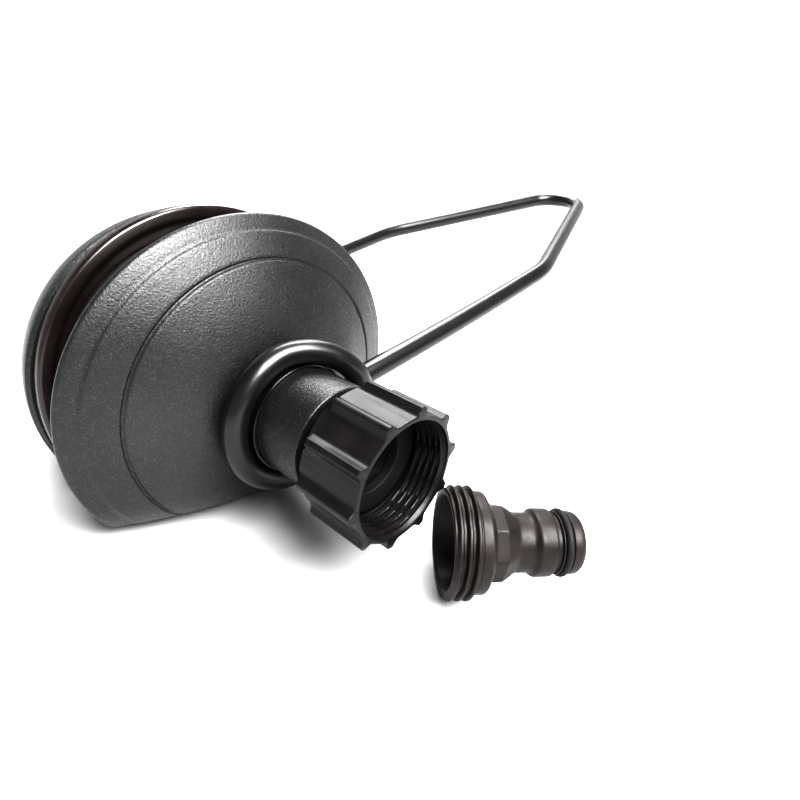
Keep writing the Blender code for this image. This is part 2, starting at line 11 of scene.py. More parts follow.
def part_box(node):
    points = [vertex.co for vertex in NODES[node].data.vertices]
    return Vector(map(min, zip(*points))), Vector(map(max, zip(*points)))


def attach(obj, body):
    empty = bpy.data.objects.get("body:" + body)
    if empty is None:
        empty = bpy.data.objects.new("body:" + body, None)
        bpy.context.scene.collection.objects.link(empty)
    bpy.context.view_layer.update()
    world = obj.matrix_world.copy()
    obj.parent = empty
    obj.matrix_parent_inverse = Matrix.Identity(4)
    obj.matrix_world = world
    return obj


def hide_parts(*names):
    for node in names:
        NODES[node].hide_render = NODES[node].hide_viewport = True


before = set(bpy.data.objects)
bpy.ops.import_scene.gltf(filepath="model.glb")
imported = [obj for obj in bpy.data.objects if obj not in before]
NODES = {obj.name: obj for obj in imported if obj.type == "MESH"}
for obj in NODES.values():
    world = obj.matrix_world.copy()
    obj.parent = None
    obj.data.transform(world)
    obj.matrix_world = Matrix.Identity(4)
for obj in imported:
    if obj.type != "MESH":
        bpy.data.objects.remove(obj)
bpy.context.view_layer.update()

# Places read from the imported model, in metres. "Y" names run along the hose axis.
RING_LOW, RING_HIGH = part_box("retaining_ring")
AXIS_Z = (RING_LOW.z + RING_HIGH.z) / 2.0
FRONT_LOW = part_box("front_housing")[0]
REAR_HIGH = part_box("rear_housing")[1]
DISC_LOW, DISC_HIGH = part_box("centre_disc")
NUT_LOW, NUT_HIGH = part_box("swivel_nut")
OUTLET_LOW, OUTLET_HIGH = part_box("outlet_coupling")
WASHER_LOW, WASHER_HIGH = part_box("hose_washer")
COLLAR_LOW, COLLAR_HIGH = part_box("drive_collar")
BARREL_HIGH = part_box("valve_barrel")[1]
BUSH_LOW, BUSH_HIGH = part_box("pivot_bush")
PLATE_LOW, PLATE_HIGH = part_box("base_plate")
PAD_LOW, PAD_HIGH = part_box("base_pad")
ROD_LOW, ROD_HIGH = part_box("tie_rod_1")

# The front shell: a flat dome, a rolled rim, and a taper back to the centre disc.
DOME_RADIUS = 0.0454
DOME_EDGE_Y = 0.0222
DOME_DEPTH = 0.0144
RIM_ROLL = 0.0016
TAPER = ((0.0203, 0.0450), (0.0170, 0.0434), (0.0110, 0.0410), (0.0050, 0.0390), (0.0018, 0.0378))
SHELL_WALL = 0.0030
NECK_RADIUS = 0.0134
NECK_BORE = 0.0112
NECK_FILLET = 0.0012
NECK_GAP = 0.0012
GROOVE_RADIUS = 0.0358
GROOVE_WIDTH = 0.0006
GROOVE_DEPTH = 0.0005
CREASE_RADIUS = 0.0420
CREASE_STEP = 0.00035
CREASE_DEPTH = 0.00030
CREASE_BLEND = 0.0005
LIP_FILLET = 0.0006
NECK_WALL_ROOT = 0.017

# The rear shell, and the way both shells draw out to an oval and tuck in at the foot.
REAR_RADIUS = 0.0430
REAR_DEPTH = 0.0375
SHELL_FACE_Y = 0.0018
BACK_WALL = 0.0020
OVAL_START = 0.030
OVAL_STRETCH = 0.06
TUCK_ZONE = 0.012
TUCK_DEPTH = 0.009
TUCK_REACH = 0.0292
SHELL_BOTTOM = 0.0036
BOSS_ROOT_Y = 0.0350
REAR_EDGE_Y = 0.0026

# Openings that the shells and the disc share. WALL_CUT is where they start and end in a shell.
BARREL_CLEARANCE = 0.0003
TIE_RADIUS = 0.0018
TIE_HOLE_RADIUS = 0.0022
NOTCH_HALF_WIDTH = 0.0148
NOTCH_TOP = 0.0108
WALL_CUT = (0.0010, 0.0048)
BEYOND = 0.1

# The foot under the shells.
FOOT_REACH_X = 0.029
FOOT_REACH_Y = 0.0215
FOOT_SQUARENESS = 3.0
PLATE_GROWTH = 0.0006
FOOT_EDGE = 0.0003
PLATE_HOLE_RADIUS = 0.0019
PAD_WELL_RADIUS = 0.0035
TREAD_PITCH = 0.0055
TREAD_HALF_LENGTH = 0.020
TREAD_HALF_WIDTH = 0.0004
SCREW_HEAD_RADIUS = 0.0030
SCREW_SHANK_RADIUS = 0.0015
SCREW_HEAD_DEPTH = 0.0011
SCREW_TIP_LENGTH = 0.0006
SCREW_SLOT = (0.0017, 0.0003)
SCREW_SLOT_DEPTH = 0.0007

# The hose threads.
PITCH = 0.001814
THREAD_CREST = 0.01322
THREAD_ROOT = 0.01215
NUT_CREST = 0.01295
NUT_ROOT = 0.01375

# The swivel nut.
NUT_RIBS = 10
NUT_TURN = math.radians(10.0)
NUT_RIB_RADIUS = NUT_HIGH.x / math.cos(math.radians(5.5))
NUT_BODY_RADIUS = 0.0152
NUT_SHOULDER_Y = -0.0617
NUT_HOLE = 0.0114
NUT_THREAD_LENGTH = 0.0098
NUT_RIB_LENGTH = 0.0165
NUT_SKIN = 0.00002
RIB_CROWN = 0.00075
RIB_FLARE = 0.00235
RIB_SHOULDER = 0.86

# The wire treadle, as in the solids.
WIRE_RADIUS = 0.0030
EYE_RADIUS = 0.0172
EYE_Y = 0.0395
EYE_OVERLAP_SHIFT = 0.0062
EYE_BEND_RADIUS = 0.008
TREADLE_RISE = math.radians(14.0)
HOOP_KNEE = 0.118
HOOP_KNEE_RADIUS = 0.040
LEG_SAG = 0.0005
HOOP_TAPER = math.radians(19.0)
HOOP_NOSE_RADIUS = 0.0129
WIRE_SIDES = 28

# The outlet coupling on the sleeve's end.
SLEEVE_FIT = 0.0099
OUTLET_THREAD_Y = 0.0600
OUTLET_BORE = 0.0085
CLIP_GROOVE = 0.0112
KNURLS = 24.0
KNURL_DEPTH = 0.0009

# The loose adapter.
ADAPTER_MOUTH = (0.01031, -0.08169)
ADAPTER_YAW = -0.724
ADAPTER_NOSE_UP = 0.026
ADAPTER_CREST = 0.0130
ADAPTER_ROOT = 0.0119
ADAPTER_PITCH = 0.0020
ADAPTER_LENGTH = 0.0322
ADAPTER_BORE = 0.0045
FLATS_START = 0.0102
FLATS_TAPER = 0.0130
FLATS_END = 0.0163
FLATS_APOTHEM = 0.0085
FLATS_TURN = math.radians(31.5)
FLATS_FALL = 0.0016
SEAL_Y = 0.0279
SEAL_RADIUS = 0.0071
SEAL_THICKNESS = 0.00088
SEAT_GAP = 0.0003

# Sections round a turned piece.
FINE = 192
MEDIUM = 96
COARSE = 64

MM = 0.001

# The floor lies a hair below the foot, so that the two never share a plane.
FLOOR_DROP = 0.0002


# ---------------------------------------------------------------- materials


class Look:
    """A node material under construction: one Principled shader and short calls that feed it."""

    def __init__(self, name, colour, roughness, metallic=0.0):
        self.material = bpy.data.materials.new(name)
        self.material.use_nodes = True
        self.tree = self.material.node_tree
        self.shader = self.tree.nodes["Principled BSDF"]
        self.shader.inputs["Base Color"].default_value = (*colour, 1.0)
        self.shader.inputs["Roughness"].default_value = roughness
        self.shader.inputs["Metallic"].default_value = metallic
        self.place = self.tree.nodes.new("ShaderNodeTexCoord").outputs["Object"]
        self.height = None

    def link(self, source, target):
        self.tree.links.new(source, target)

    def node(self, kind, **settings):
        made = self.tree.nodes.new(kind)
        for key, value in settings.items():
            setattr(made, key, value)
        return made

    def stretched(self, scale):
        """Object coordinates scaled by axis, for grain that runs one way."""
        mapping = self.node("ShaderNodeMapping")
        mapping.inputs["Scale"].default_value = scale
        self.link(self.place, mapping.inputs["Vector"])
        return mapping.outputs["Vector"]

    def noise(self, scale, detail=2.0, rough=0.5, stretch=None):
        made = self.node("ShaderNodeTexNoise")
        made.inputs["Scale"].default_value = scale
        made.inputs["Detail"].default_value = detail
        made.inputs["Roughness"].default_value = rough
        self.link(self.stretched(stretch) if stretch else self.place, made.inputs["Vector"])
        return made.outputs["Fac"]

    def grains(self, scale):
        """A random value for each small cell."""
        made = self.node("ShaderNodeTexVoronoi")
        made.inputs["Scale"].default_value = scale
        self.link(self.place, made.inputs["Vector"])
        split = self.node("ShaderNodeSeparateColor")
        self.link(made.outputs["Color"], split.inputs["Color"])
        return split.outputs["Red"]

    def span(self, value, low, high, to_low=0.0, to_high=1.0):
        """Map a value's range onto another, held at both ends."""
        made = self.node("ShaderNodeMapRange")
        made.inputs["From Min"].default_value = low
        made.inputs["From Max"].default_value = high
        made.inputs["To Min"].default_value = to_low
        made.inputs["To Max"].default_value = to_high
        self.link(value, made.inputs["Value"])
        return made.outputs["Result"]

    def math(self, operation, first, second):
        made = self.node("ShaderNodeMath", operation=operation)
        for socket, value in zip(made.inputs, (first, second)):
            if isinstance(value, (int, float)):
                socket.default_value = value
            else:
                self.link(value, socket)
        return made.outputs["Value"]

    def mix(self, factor, first, second):
        """Mix two colours, each a tuple or a socket."""
        made = self.node("ShaderNodeMix", data_type="RGBA")
        self.link(factor, made.inputs["Factor"])
        for socket, value in ((made.inputs[6], first), (made.inputs[7], second)):
            if isinstance(value, tuple):
                socket.default_value = (*value, 1.0)
            else:
                self.link(value, socket)
        return made.outputs[2]

    def colour(self, source):
        self.link(source, self.shader.inputs["Base Color"])

    def roughness(self, source):
        self.link(source, self.shader.inputs["Roughness"])

    def bump(self, height, depth, strength=1.0):
        """Add a bump layer. depth is its height in metres."""
        made = self.node("ShaderNodeBump")
        made.inputs["Strength"].default_value = strength
        made.inputs["Distance"].default_value = depth
        self.link(height, made.inputs["Height"])
        if self.height is not None:
            self.link(self.height, made.inputs["Normal"])
        self.height = made.outputs["Normal"]
        self.link(self.height, self.shader.inputs["Normal"])

    def coat(self, weight, roughness):
        self.shader.inputs["Coat Weight"].default_value = weight
        self.shader.inputs["Coat Roughness"].default_value = roughness


def moulded_grain():
    """Charcoal plastic with a fine blasted grain, with painted glints: single grain cells coloured lighter
    as if catching the light.
    """
    look = Look("charcoal_grained_plastic", (0.012, 0.0125, 0.013), 0.42)
    cells = look.grains(4800.0)
    # painted glints: the brightest tenth of the grain cells gets a lighter colour, standing in for grains
    # that catch the light
    painted_glint = look.span(cells, 0.90, 1.0)
    cloud = look.span(look.noise(55.0, 3.0), 0.35, 0.68)
    base = look.mix(cloud, (0.010, 0.0105, 0.0108), (0.017, 0.0175, 0.0175))
    look.colour(look.mix(painted_glint, base, (0.050, 0.052, 0.054)))
    look.roughness(look.span(cells, 0.0, 1.0, 0.39, 0.25))
    look.shader.inputs["Specular IOR Level"].default_value = 0.62
    look.bump(look.noise(2100.0, 3.0, 0.65), 0.00020, 0.60)
    look.bump(look.noise(600.0, 2.0), 0.00008, 0.25)
    return look.material


def satin_plastic(name, colour, roughness, streak=(1.0, 0.06, 1.0)):
    """Smooth moulded plastic with faint draw marks along the axis and a few handling scuffs."""
    look = Look(name, colour, roughness)
    look.shader.inputs["Specular IOR Level"].default_value = 0.38
    streaks = look.noise(900.0, 3.0, 0.6, streak)
    patches = look.noise(120.0, 4.0, 0.6)
    lighter = tuple(c * 1.9 for c in colour)
    darker = tuple(c * 0.85 for c in colour)
    look.colour(look.mix(look.span(patches, 0.35, 0.75), darker, lighter))
    drawn = look.span(streaks, 0.3, 0.7, -0.06, 0.06)
    scuffed = look.span(patches, 0.3, 0.7, -0.05, 0.07)
    worn = look.math("ADD", drawn, scuffed)
    look.roughness(look.math("ADD", worn, roughness))
    look.bump(streaks, 0.00006, 0.55)
    look.bump(look.noise(3000.0, 1.0), 0.00002, 0.30)
    return look.material


def gloss_plastic(name, colour, roughness):
    """Polished plastic under a thin clear coat, smeared by handling."""
    look = Look(name, colour, roughness)
    smear = look.noise(160.0, 3.0)
    look.roughness(look.span(smear, 0.3, 0.7, roughness * 0.8, roughness * 1.35))
    tint = tuple(c * 1.5 for c in colour)
    look.colour(look.mix(look.span(smear, 0.3, 0.8), colour, tint))
    look.bump(look.noise(400.0, 2.0), 0.00003, 0.25)
    look.coat(0.4, 0.12)
    return look.material


def wire_enamel():
    """Gloss black enamel on wire, with a slight orange peel and duller rubbed patches."""
    look = Look("gloss_black_enamel", (0.006, 0.006, 0.0065), 0.34)
    rub = look.span(look.noise(180.0, 4.0, 0.65), 0.52, 0.75)
    look.colour(look.mix(rub, (0.006, 0.006, 0.0065), (0.010, 0.010, 0.0105)))
    look.roughness(look.span(rub, 0.0, 1.0, 0.34, 0.42))
    look.bump(look.noise(650.0, 2.0), 0.00005, 0.30)
    look.coat(0.25, 0.16)
    return look.material


def rubber():
    """Dull rubber with a little dust in its pores."""
    look = Look("black_rubber", (0.007, 0.007, 0.007), 0.78)
    dust = look.span(look.noise(260.0, 5.0, 0.7), 0.45, 0.8)
    look.colour(look.mix(dust, (0.007, 0.007, 0.007), (0.012, 0.0115, 0.011)))
    look.roughness(look.span(dust, 0.0, 1.0, 0.62, 0.90))
    look.bump(look.noise(1500.0, 2.0), 0.00005, 0.4)
    return look.material


def turned_metal(name, colour, roughness, stain):
    """Turned metal: fine tool marks round the axis and a light stain."""
    look = Look(name, colour, roughness, 1.0)
    marks = look.noise(1400.0, 2.0, 0.5, (0.08, 1.0, 0.08))
    dull = look.span(look.noise(90.0, 4.0, 0.6), 0.4, 0.75)
    look.colour(look.mix(dull, colour, stain))
    grain = look.span(marks, 0.3, 0.7, -0.05, 0.08)
    tarnish = look.span(dull, 0.0, 1.0, 0.0, 0.12)
    look.roughness(look.math("ADD", look.math("ADD", grain, tarnish), roughness))
    look.bump(marks, 0.00002, 0.4)
    return look.material


def painted_metal(name, colour, roughness):
    """Paint on metal, with a few small chips."""
    look = Look(name, colour, roughness)
    chips = look.span(look.noise(240.0, 5.0, 0.7), 0.70, 0.74)
    look.colour(look.mix(chips, colour, tuple(min(1.0, c * 3.0 + 0.02) for c in colour)))
    look.roughness(look.span(look.noise(130.0, 3.0), 0.3, 0.7, roughness - 0.08, roughness + 0.1))
    look.bump(look.noise(900.0, 2.0), 0.00006, 0.35)
    return look.material


def nylon():
    """Natural nylon, slightly cloudy."""
    look = Look("natural_nylon", (0.70, 0.68, 0.62), 0.42)
    cloud = look.span(look.noise(120.0, 3.0), 0.3, 0.7)
    look.colour(look.mix(cloud, (0.66, 0.64, 0.58), (0.74, 0.72, 0.67)))
    look.roughness(look.span(cloud, 0.0, 1.0, 0.36, 0.50))
    look.bump(look.noise(1200.0, 2.0), 0.00003, 0.3)
    look.shader.inputs["Subsurface Weight"].default_value = 0.15
    return look.material


GRAINED = moulded_grain()
NUT_PLASTIC = satin_plastic("satin_nut_plastic", (0.0095, 0.0086, 0.0082), 0.33)
ADAPTER_PLASTIC = satin_plastic("satin_adapter_plastic", (0.0135, 0.0105, 0.0095), 0.45, (0.6, 0.6, 0.6))
DISC_GLOSS = gloss_plastic("brown_black_gloss", (0.012, 0.008, 0.0075), 0.24)
RING_GLOSS = gloss_plastic("ring_gloss_black", (0.004, 0.004, 0.0045), 0.18)
ENAMEL = wire_enamel()
RUBBER = rubber()
BRASS = turned_metal("turned_brass", (0.62, 0.42, 0.17), 0.28, (0.40, 0.27, 0.12))
STEEL = turned_metal("plain_steel", (0.52, 0.52, 0.53), 0.30, (0.36, 0.35, 0.34))
LACQUER = painted_metal("black_lacquer", (0.009, 0.009, 0.0095), 0.38)
PLATE_PAINT = painted_metal("charcoal_plate_paint", (0.016, 0.0165, 0.017), 0.50)
NYLON = nylon()


# ---------------------------------------------------------------- mesh tools


def add_piece(name, bm, look, body, replaces=(), smooth_angle=38.0):
    """Make an object from a bmesh, shade it, and tie it to its CAD body."""
    bmesh.ops.remove_doubles(bm, verts=bm.verts, dist=1e-7)
    bmesh.ops.recalc_face_normals(bm, faces=bm.faces)
    mesh = bpy.data.meshes.new(name)
    bm.to_mesh(mesh)
    bm.free()
    mesh.shade_smooth()
    mesh.set_sharp_from_angle(angle=math.radians(smooth_angle))
    mesh.materials.append(look)
    piece = bpy.data.objects.new(name, mesh)
    bpy.context.scene.collection.objects.link(piece)
    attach(piece, body)
    if replaces:
        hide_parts(*replaces)
    return piece


def rounded(corners, steps=5, closed=True):
    """An outline of (y, radius, fillet) corners with each filleted corner turned into a short curve."""
    points = []
    count = len(corners)
    for i, (y, r, fillet) in enumerate(corners):
        corner = Vector((y, r))
        ends = not closed and i in (0, count - 1)
        if fillet <= 0.0 or ends:
            points.append((y, r))
            continue
        before = Vector(corners[i - 1][:2]) - corner
        after = Vector(corners[(i + 1) % count][:2]) - corner
        reach = min(fillet, before.length * 0.49, after.length * 0.49)
        start = corner + before.normalized() * reach
        end = corner + after.normalized() * reach
        for k in range(steps + 1):
            t = k / steps
            bend = start * (1 - t) ** 2 + corner * (2 * t * (1 - t)) + end * t**2
            points.append((bend.x, bend.y))
    return points


def run(y_from, y_to, radius, step):
    """Closely spaced points along a straight stretch, for a thread to bend."""
    count = max(1, round(abs(y_to - y_from) / step))
    return [(y_from + (y_to - y_from) * i / count, radius) for i in range(count + 1)]


def circle(y, r, radius, count):
    """A round outline of (y, radius) points, for a ring that is turned about the axis."""
    angles = np.linspace(0.0, math.tau, count, endpoint=False)
    return [(y + radius * math.cos(a), r + radius * math.sin(a)) for a in angles]


def turned_mesh(outline, angles, shape=None):
    """A bmesh turned about the Y axis from (y, radius) points. shape moves each point by its angle."""
    closed = outline[0][1] > 1e-9
    rings = []
    bm = bmesh.new()
    for angle in angles:
        ring = []
        for y, r in outline:
            if shape and r > 1e-9:
                y, r = shape(y, r, angle)
            ring.append(bm.verts.new((r * math.cos(angle), y, r * math.sin(angle))))
        rings.append(ring)
    count = len(outline)
    last = count if closed else count - 1
    for here, after in zip(rings, rings[1:] + rings[:1]):
        for i in range(last):
            j = (i + 1) % count
            bm.faces.new((here[i], here[j], after[j], after[i]))
    return bm


def even_angles(steps):
    """Angles at equal steps round a full turn."""
    return [math.tau * step / steps for step in range(steps)]


def turned(name, outline, look, body, replaces=(), steps=MEDIUM, shape=None, seat=None):
    """A turned piece about the hose axis, or about its own axis where seat places it."""
    bm = turned_mesh(outline, even_angles(steps), shape)
    bm.transform(seat if seat is not None else Matrix.Translation((0.0, 0.0, AXIS_Z)))
    return add_piece(name, bm, look, body, replaces)


def sweep(bm, points, radius, sides, taper_ends=True):
    """Add a closed round tube along points to a bmesh, with rounded ends."""
    points = [Vector(p) for p in points]
    count = len(points)
    tangents = []
    for i in range(count):
        ahead = points[min(i + 1, count - 1)] - points[max(i - 1, 0)]
        tangents.append(ahead.normalized())
    side = tangents[0].orthogonal().normalized()
    stations = []
    if taper_ends:
        first, last = points[0], points[-1]
        for k in (3, 2, 1):
            a = k / 4.0 * math.pi / 2.0
            stations.append((first - tangents[0] * radius * 0.35 * math.sin(a), tangents[0], math.cos(a)))
    stations += [(p, t, 1.0) for p, t in zip(points, tangents)]
    if taper_ends:
        for k in (1, 2, 3):
            a = k / 4.0 * math.pi / 2.0
            stations.append((last + tangents[-1] * radius * 0.35 * math.sin(a), tangents[-1], math.cos(a)))
    rings = []
    for place, tangent, scale in stations:
        side = (side - tangent * side.dot(tangent)).normalized()
        other = tangent.cross(side)
        ring = []
        for k in range(sides):
            a = math.tau * k / sides
            ring.append(bm.verts.new(place + (side * math.cos(a) + other * math.sin(a)) * radius * scale))
        rings.append(ring)
    for here, after in zip(rings, rings[1:]):
        for i in range(sides):
            j = (i + 1) % sides
            bm.faces.new((here[i], here[j], after[j], after[i]))
    bm.faces.new(list(reversed(rings[0])))
    bm.faces.new(rings[-1])


def cutter_box(low, high):
    """A closed box to cut with, from its lowest to its highest corner."""
    bm = bmesh.new()
    size = [h - l for l, h in zip(low, high)]
    middle = [(h + l) / 2.0 for l, h in zip(low, high)]
    bmesh.ops.create_cube(bm, size=1.0, matrix=Matrix.Diagonal((*size, 1.0)))
    bmesh.ops.translate(bm, verts=bm.verts, vec=middle)
    return bm


def cutter_rod(start, end, radius, sides=24):
    """A closed round bar from one point to another."""
    start, end = Vector(start), Vector(end)
    bm = bmesh.new()
    bmesh.ops.create_cone(
        bm, cap_ends=True, segments=sides, radius1=radius, radius2=radius, depth=(end - start).length
    )
    turn = (end - start).to_track_quat("Z", "Y").to_matrix().to_4x4()
    bm.transform(Matrix.Translation((start + end) / 2.0) @ turn)
    return bm


def carve(piece, cutters, operation="DIFFERENCE"):
    """Cut closed bmeshes from a piece, or join them on, and keep only the result."""
    for bm in cutters:
        mesh = bpy.data.meshes.new("cutter")
        bm.to_mesh(mesh)
        bm.free()
        tool = bpy.data.objects.new("cutter", mesh)
        bpy.context.scene.collection.objects.link(tool)
        step = piece.modifiers.new("carve", "BOOLEAN")
        step.operation = operation
        step.object = tool
        graph = bpy.context.evaluated_depsgraph_get()
        result = bpy.data.meshes.new_from_object(piece.evaluated_get(graph))
        piece.modifiers.clear()
        old = piece.data
        piece.data = result
        bpy.data.meshes.remove(old)
        bpy.data.objects.remove(tool, do_unlink=True)
    piece.data.shade_smooth()
    piece.data.set_sharp_from_angle(angle=math.radians(32.0))
    return piece


# ---------------------------------------------------------------- thread and rib shapes


def ridge(phase):
    """Height of a rounded thread flank, 0 at the root and 1 at the crest, over one pitch."""
    distance = abs((phase % 1.0) - 0.5) * 2.0
    t = min(1.0, max(0.0, (0.78 - distance) / 0.56))
    return t * t * (3.0 - 2.0 * t)


def thread_shape(y_start, y_end, root, crest, inner=False, run_out=0.6, pitch=PITCH):
    """A shape that raises a helical thread on points between two stations, fading at its ends."""
    low, high = min(y_start, y_end), max(y_start, y_end)

    def shape(y, r, angle):
        on_wall = abs(r - (crest if inner else root)) < 1e-5 or abs(r - root) < 1e-5
        if not (low <= y <= high and on_wall):
            return y, r
        fade = min(1.0, (y - low) / (pitch * run_out), (high - y) / (pitch * run_out))
        height = ridge(y / pitch - angle / math.tau) * max(0.0, fade)
        return y, root + (crest - root) * height

    return shape


# ---------------------------------------------------------------- the body


def dome_y(radius):
    """How far the front dome's skin stands from the middle plane at this radius."""
    return DOME_EDGE_Y + DOME_DEPTH * (1.0 - (radius / DOME_RADIUS) ** 2)


def rear_radius(y, thickness=0.0):
    """The rear dome's radius this far behind the middle plane, at a depth below its skin."""
    return (REAR_RADIUS - thickness) * math.sqrt(1.0 - (y / (REAR_DEPTH - thickness)) ** 2)


def skin_y(radius):
    """The front dome's skin with its fine groove and the faint step outside it."""
    y = dome_y(radius)
    off = abs(radius - GROOVE_RADIUS)
    if off < GROOVE_WIDTH:
        y -= GROOVE_DEPTH * 0.5 * (1.0 + math.cos(math.pi * off / GROOVE_WIDTH))
    near = abs(radius - CREASE_RADIUS)
    if near < GROOVE_WIDTH:
        y -= CREASE_DEPTH * 0.5 * (1.0 + math.cos(math.pi * near / GROOVE_WIDTH))
    past = min(1.0, max(0.0, (radius - CREASE_RADIUS) / CREASE_BLEND))
    return y - CREASE_STEP * past


def dome_radii():
    """Radii for the skin's points, closer together at the groove and the step."""
    radii = list(np.linspace(0.0150, 0.0350, 15))
    radii += list(np.linspace(0.0352, 0.0364, 13))
    radii += list(np.linspace(0.0370, 0.0410, 6))
    radii += list(np.linspace(0.0414, 0.0426, 13))
    radii += list(np.linspace(0.0432, DOME_RADIUS - RIM_ROLL, 3))
    return radii


def eased(points, rounds=2):
    """Cut the corners of an open run of points so that it bends smoothly."""
    for _ in range(rounds):
        cut = [points[0]]
        for (y0, r0), (y1, r1) in zip(points, points[1:]):
            cut.append((0.75 * y0 + 0.25 * y1, 0.75 * r0 + 0.25 * r1))
            cut.append((0.25 * y0 + 0.75 * y1, 0.25 * r0 + 0.75 * r1))
        points = cut + [points[-1]]
    return points


def neck_outline(neck_end, neck_root):
    """The neck from its bore out over its end and down to a small fillet on the dome."""
    front = [
        (neck_end, NECK_BORE, 0.0),
        (neck_end, NECK_RADIUS, LIP_FILLET),
        (neck_root, NECK_RADIUS, 0.0),
    ]
    outline = rounded(front, closed=False)[:-1]
    for k in range(7):
        a = math.pi / 2.0 * k / 6.0
        y = neck_root + NECK_FILLET * (1.0 - math.sin(a))
        outline.append((y, NECK_RADIUS + NECK_FILLET * (1.0 - math.cos(a))))
    return outline


def front_outline():
    """The front shell: neck, dome, rolled rim, taper, and back inside to the neck's bore."""
    neck_end = -FRONT_LOW.y - NECK_GAP
    outline = neck_outline(neck_end, dome_y(NECK_RADIUS))
    outline += [(skin_y(r), r) for r in dome_radii()]
    start = DOME_RADIUS - RIM_ROLL
    corner = (dome_y(DOME_RADIUS) - CREASE_STEP, DOME_RADIUS)
    outline += eased([(skin_y(start), start), corner, *TAPER[:4]], 3)[1:]
    outline.append(TAPER[4])
    hole = BARREL_HIGH.x + BARREL_CLEARANCE
    inner_wall = SHELL_FACE_Y + BACK_WALL
    outline += [(SHELL_FACE_Y, hole), (inner_wall, hole), (inner_wall, TAPER[4][1] - SHELL_WALL)]
    outline += [(y, r - SHELL_WALL) for y, r in reversed(TAPER[1:4])]
    outline.append((0.0192, 0.0414))
    outline += [(dome_y(r + SHELL_WALL) - SHELL_WALL, r) for r in (0.0395, 0.035, 0.029, 0.022, 0.014)]
    outline.append((dome_y(NECK_WALL_ROOT) - SHELL_WALL, NECK_BORE))
    return [(-y, r) for y, r in outline]


def rear_outline():
    """The rear shell: boss, dome, edge, and back inside to the boss's bore."""
    boss = [
        (REAR_HIGH.y, NECK_BORE, 0.0),
        (REAR_HIGH.y, NECK_RADIUS, LIP_FILLET),
        (BOSS_ROOT_Y, NECK_RADIUS + 0.0005, 0.0),
    ]
    outline = rounded(boss, closed=False)
    outline += [(y, rear_radius(y)) for y in np.linspace(0.0345, 0.0034, 30)]
    edge = rear_radius(REAR_EDGE_Y)
    outline += [(REAR_EDGE_Y, edge - 0.0001), (SHELL_FACE_Y, edge - 0.0008)]
    hole = BARREL_HIGH.x + BARREL_CLEARANCE
    inner_wall = SHELL_FACE_Y + BACK_WALL
    outline += [(SHELL_FACE_Y, hole), (inner_wall, hole)]
    stations = (inner_wall, 0.0100, 0.0170, 0.0230, 0.0280, 0.0320)
    inside = [(y, rear_radius(y, SHELL_WALL)) for y in stations]
    return outline + inside + [(inside[-1][0], NECK_BORE)]


def mould(bm):
    """Draw a turned shell out to its oval and tuck its lower end in towards the foot."""
    for vertex in bm.verts:
        x, y, z = vertex.co
        outward = smooth((math.hypot(x, z) - OVAL_START) / (DOME_RADIUS - OVAL_START))
        below = min(1.0, max(0.0, (TUCK_ZONE - AXIS_Z - z) / TUCK_ZONE))
        tuck = TUCK_DEPTH * (1.0 - math.sqrt(1.0 - below * below))
        beyond = max(0.0, abs(y) - SHELL_FACE_Y)
        vertex.co.x = x * (1.0 + OVAL_STRETCH * outward)
        vertex.co.y = y - math.copysign(beyond * tuck / TUCK_REACH, y)


def tie_centres():
    """The x and z of the tie rods, from the first one's place and the square symmetry of the four."""
    x = (ROD_LOW.x + ROD_HIGH.x) / 2.0
    z = (ROD_LOW.z + ROD_HIGH.z) / 2.0 - AXIS_Z
    return [(sx * x, AXIS_Z + sz * z) for sx, sz in ((1, 1), (-1, 1), (-1, -1), (1, -1))]


def tie_holes(y_low, y_high):
    """Cutters for the four tie rod holes between two stations."""
    return [cutter_rod((x, y_low, z), (x, y_high, z), TIE_HOLE_RADIUS) for x, z in tie_centres()]


def foot_notch(y_low, y_high):
    """A cutter for the opening over the foot between two stations."""
    return cutter_box((-NOTCH_HALF_WIDTH, y_low, -0.01), (NOTCH_HALF_WIDTH, y_high, NOTCH_TOP))


def build_housings():
    """Both shells: turned, drawn to shape, then cut for the foot and the tie rods."""
    pieces = (
        ("front_shell", "front_housing", -1, front_outline()),
        ("rear_shell", "rear_housing", 1, rear_outline()),
    )
    for name, node, side, outline in pieces:
        bm = turned_mesh(outline, even_angles(FINE))
        mould(bm)
        bm.transform(Matrix.Translation((0.0, 0.0, AXIS_Z)))
        shell = add_piece(name, bm, GRAINED, "valve", (node,))
        near, far = sorted(side * y for y in WALL_CUT)
        below = cutter_box((-BEYOND, -BEYOND, -BEYOND), (BEYOND, BEYOND, SHELL_BOTTOM))
        carve(shell, [foot_notch(near, far)] + tie_holes(near, far) + [below])


def build_disc():
    """The dark flange between the shells: a thin web with a rolled lip on its front side."""
    edge, inner = DISC_HIGH.x, BARREL_HIGH.x + BARREL_CLEARANCE
    lip, half_lip, half_web = 0.0027, 0.0021, 0.0012
    corners = [
        (-half_web, inner, 0.0),
        (-half_web, edge - lip - 0.0012, 0.0006),
        (-half_lip, edge - lip, 0.0008),
        (-half_lip, edge, 0.0018),
        (half_web, edge, 0.0010),
        (half_web, inner, 0.0),
    ]
    outline = rounded(corners, 6)
    disc = turned("centre_flange", outline, DISC_GLOSS, "valve", ("centre_disc",), 160)
    below = cutter_box((-BEYOND, -BEYOND, -BEYOND), (BEYOND, BEYOND, DISC_LOW.z))
    carve(disc, [below, foot_notch(-0.01, 0.01)] + tie_holes(-0.005, 0.005))


def build_ties():
    """Four short tie rods through the disc and into both shells."""
    for number, (x, z) in enumerate(tie_centres(), 1):
        bm = cutter_rod((x, ROD_LOW.y, z), (x, ROD_HIGH.y, z), TIE_RADIUS)
        bmesh.ops.bevel(bm, geom=bm.edges, offset=0.0002, segments=1, affect="EDGES")
        add_piece(f"tie_bar_{number}", bm, STEEL, "valve", (f"tie_rod_{number}",))


